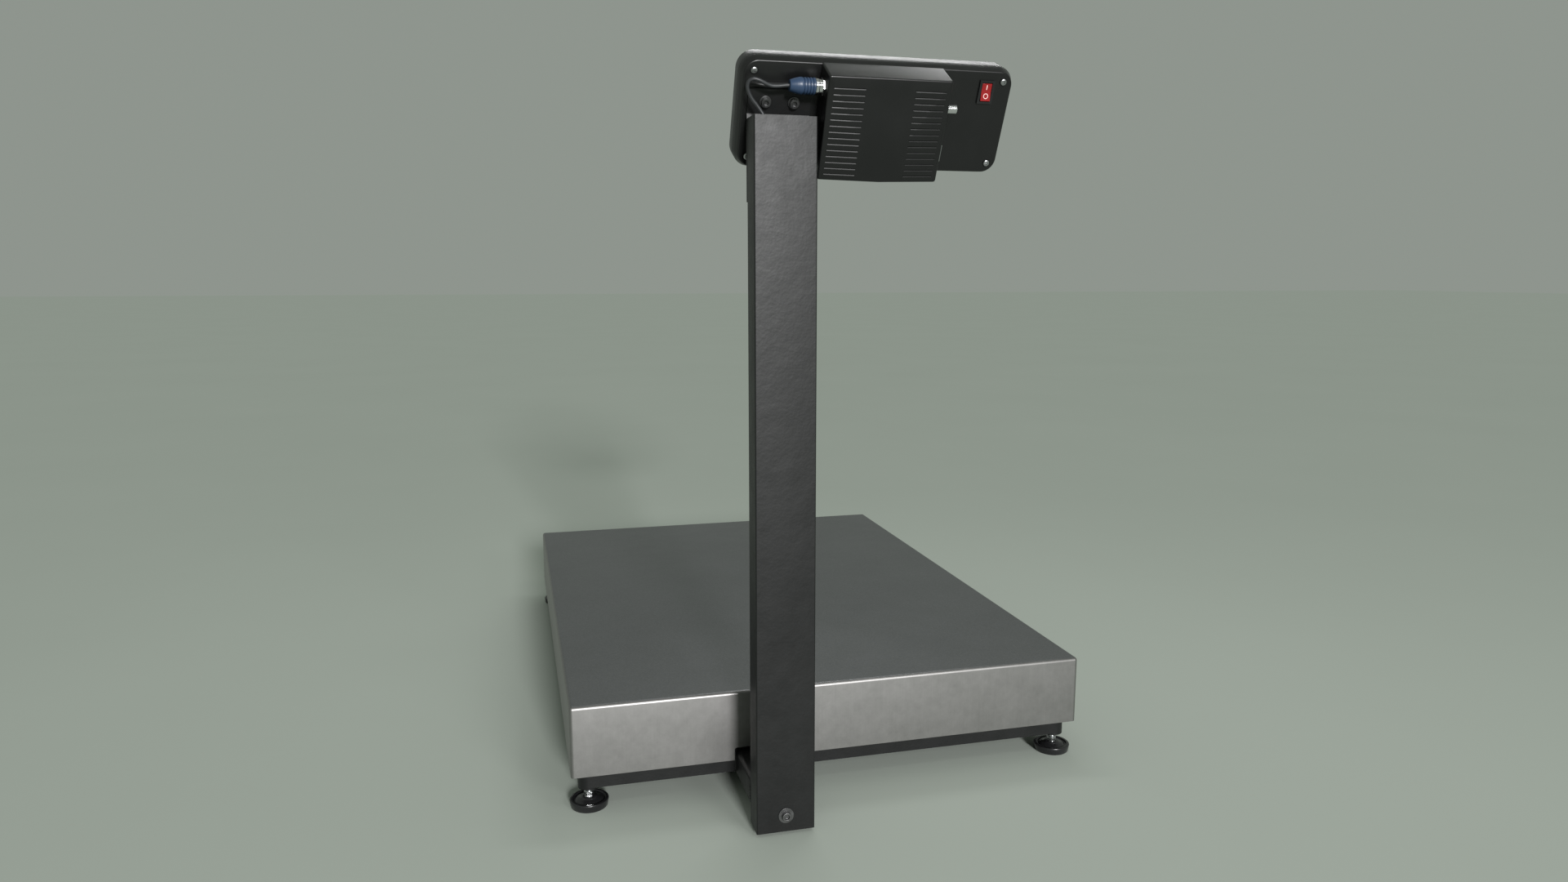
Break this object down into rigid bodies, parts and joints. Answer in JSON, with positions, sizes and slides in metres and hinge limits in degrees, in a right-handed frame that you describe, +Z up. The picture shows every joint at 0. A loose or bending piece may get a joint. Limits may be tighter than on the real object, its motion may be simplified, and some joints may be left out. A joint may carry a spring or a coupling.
{
  "type": "animal weighing scale",
  "caption": "Low steel weighing platform on levelling feet, with a rear mast and a tilted indicator head that faces the platform.",
  "frame": {"origin": "on the floor at the centre of the whole footprint", "axes": "+Z up; +Y towards the mast's end; the display faces -Y; +X to the right of a person who reads the display"},
  "size_m": [0.6026, 0.9103, 0.7872],
  "materials": {
    "pan_steel": "brushed, light wear",
    "pad_rubber": "matte",
    "bridge_steel": "satin powder coat",
    "cell_aluminium": "machined, clear anodised",
    "bolt_steel": "zinc plated",
    "frame_paint": "semi-gloss black paint",
    "stud_chrome": "plated",
    "foot_black": "glossy moulding",
    "mast_paint": "black powder coat, fine orange peel",
    "black_steel": "blackened",
    "cap_plastic": "moulded",
    "cable_sheath": "soft sheath",
    "boot_blue": "ribbed moulding",
    "socket_chrome": "plated",
    "case_black": "satin moulding",
    "case_front": "satin moulding",
    "window": "tinted, gloss",
    "lcd_panel": "satin",
    "keypad_blue": "textured film",
    "key_face": "textured film",
    "board_green": "solder mask",
    "battery_case": "moulded",
    "bezel_black": "moulded",
    "rocker_red": "moulded",
    "screw_steel": "plated"
  },
  "bodies": {
    "base": {"load_cell": "cell_aluminium", "cell_lower_spacer": "cell_aluminium", "cell_bolts": "bolt_steel", "overload_stops": "bolt_steel", "base_channel": "frame_paint", "front_rail": "frame_paint", "rear_rail": "frame_paint", "left_rail": "frame_paint", "right_rail": "frame_paint", "corner_posts": "frame_paint", "arm": "frame_paint", "mast_spigot": "frame_paint", "mast": "mast_paint", "mast_bolt": "black_steel", "mast_washer": "black_steel", "mast_cap": "cap_plastic", "mast_foot_plug": "cap_plastic", "cell_cable": "cable_sheath", "cable_loop": "cable_sheath", "connector_boot": "boot_blue", "panel_socket": "socket_chrome", "bracket": "mast_paint", "bracket_screws": "black_steel", "bracket_washers": "black_steel", "bracket_rivets": "black_steel", "rear_shell": "case_black", "front_shell": "case_front", "vent_housing": "case_black", "case_screws": "screw_steel", "display_window": "window", "display_module": "lcd_panel", "keypad_panel": "keypad_blue", "main_board": "board_green", "battery": "battery_case", "rocker_bezel": "bezel_black", "power_jack": "socket_chrome", "serial_port": "screw_steel"},
    "bridge": {"bridge_side_beams": "bridge_steel", "bridge_crossbars": "bridge_steel", "bridge_plate": "bridge_steel", "cell_upper_spacer": "cell_aluminium", "bridge_bolts": "bolt_steel", "pan_pads": "pad_rubber"},
    "pan": {"pan": "pan_steel"},
    "rocker": {"rocker": "rocker_red"},
    "coupling_ring": {"coupling_ring": "socket_chrome"},
    "foot_pad_1": {"foot_pad_1": "foot_black"},
    "foot_stud_1": {"foot_stud_1": "stud_chrome"},
    "foot_pad_2": {"foot_pad_2": "foot_black"},
    "foot_stud_2": {"foot_stud_2": "stud_chrome"},
    "foot_pad_3": {"foot_pad_3": "foot_black"},
    "foot_stud_3": {"foot_stud_3": "stud_chrome"},
    "foot_pad_4": {"foot_pad_4": "foot_black"},
    "foot_stud_4": {"foot_stud_4": "stud_chrome"},
    "key_1": {"key_1": "key_face"},
    "key_2": {"key_2": "key_face"},
    "key_3": {"key_3": "key_face"},
    "key_4": {"key_4": "key_face"},
    "key_5": {"key_5": "key_face"}
  },
  "joints": [
    {"name": "bridge_travel", "type": "slide", "parent": "base", "child": "bridge", "axis": [0, 0, 1], "range_m": [-0.001, 0], "stiffness_N_per_m": 1000000, "springref_m": 0.00016, "deforming": ["load_cell"]},
    {"name": "pan_lift", "type": "slide", "parent": "bridge", "child": "pan", "axis": [0, 0, 1], "range_m": [0, 0.15]},
    {"name": "foot_1_height", "type": "slide", "parent": "base", "child": "foot_pad_1", "axis": [0, 0, 1], "range_m": [-0.01, 0.004]},
    {"name": "foot_1_turn", "type": "hinge", "parent": "foot_pad_1", "child": "foot_stud_1", "pos_m": [-0.28, -0.4346, 0.02], "axis": [0, 0, 1], "range_deg": [-2401, 961]},
    {"name": "foot_2_height", "type": "slide", "parent": "base", "child": "foot_pad_2", "axis": [0, 0, 1], "range_m": [-0.01, 0.004]},
    {"name": "foot_2_turn", "type": "hinge", "parent": "foot_pad_2", "child": "foot_stud_2", "pos_m": [0.28, -0.4346, 0.02], "axis": [0, 0, 1], "range_deg": [-2401, 961]},
    {"name": "foot_3_height", "type": "slide", "parent": "base", "child": "foot_pad_3", "axis": [0, 0, 1], "range_m": [-0.01, 0.004]},
    {"name": "foot_3_turn", "type": "hinge", "parent": "foot_pad_3", "child": "foot_stud_3", "pos_m": [-0.28, 0.3254, 0.02], "axis": [0, 0, 1], "range_deg": [-2401, 961]},
    {"name": "foot_4_height", "type": "slide", "parent": "base", "child": "foot_pad_4", "axis": [0, 0, 1], "range_m": [-0.01, 0.004]},
    {"name": "foot_4_turn", "type": "hinge", "parent": "foot_pad_4", "child": "foot_stud_4", "pos_m": [0.28, 0.3254, 0.02], "axis": [0, 0, 1], "range_deg": [-2401, 961]},
    {"name": "power_rocker", "type": "hinge", "parent": "base", "child": "rocker", "pos_m": [-0.1238, 0.4207, 0.7558], "axis": [1, 0, 0], "range_deg": [-12, 0]},
    {"name": "key_1_press", "type": "slide", "parent": "base", "child": "key_1", "axis": [0, 0.9063, -0.4226], "range_m": [0, 0.0008], "stiffness_N_per_m": 800},
    {"name": "key_2_press", "type": "slide", "parent": "base", "child": "key_2", "axis": [0, 0.9063, -0.4226], "range_m": [0, 0.0008], "stiffness_N_per_m": 800},
    {"name": "key_3_press", "type": "slide", "parent": "base", "child": "key_3", "axis": [0, 0.9063, -0.4226], "range_m": [0, 0.0008], "stiffness_N_per_m": 800},
    {"name": "key_4_press", "type": "slide", "parent": "base", "child": "key_4", "axis": [0, 0.9063, -0.4226], "range_m": [0, 0.0008], "stiffness_N_per_m": 800},
    {"name": "key_5_press", "type": "slide", "parent": "base", "child": "key_5", "axis": [0, 0.9063, -0.4226], "range_m": [0, 0.0008], "stiffness_N_per_m": 800},
    {"name": "coupling_ring_turn", "type": "hinge", "parent": "base", "child": "coupling_ring", "pos_m": [0.0559, 0.43406, 0.75133], "axis": [1, 0, 0], "continuous": true}
  ],
  "couplings": [
    {"joint": "foot_1_turn", "follows": "foot_1_height", "rad_per_m": 4188.8},
    {"joint": "foot_2_turn", "follows": "foot_2_height", "rad_per_m": 4188.8},
    {"joint": "foot_3_turn", "follows": "foot_3_height", "rad_per_m": 4188.8},
    {"joint": "foot_4_turn", "follows": "foot_4_height", "rad_per_m": 4188.8}
  ]
}
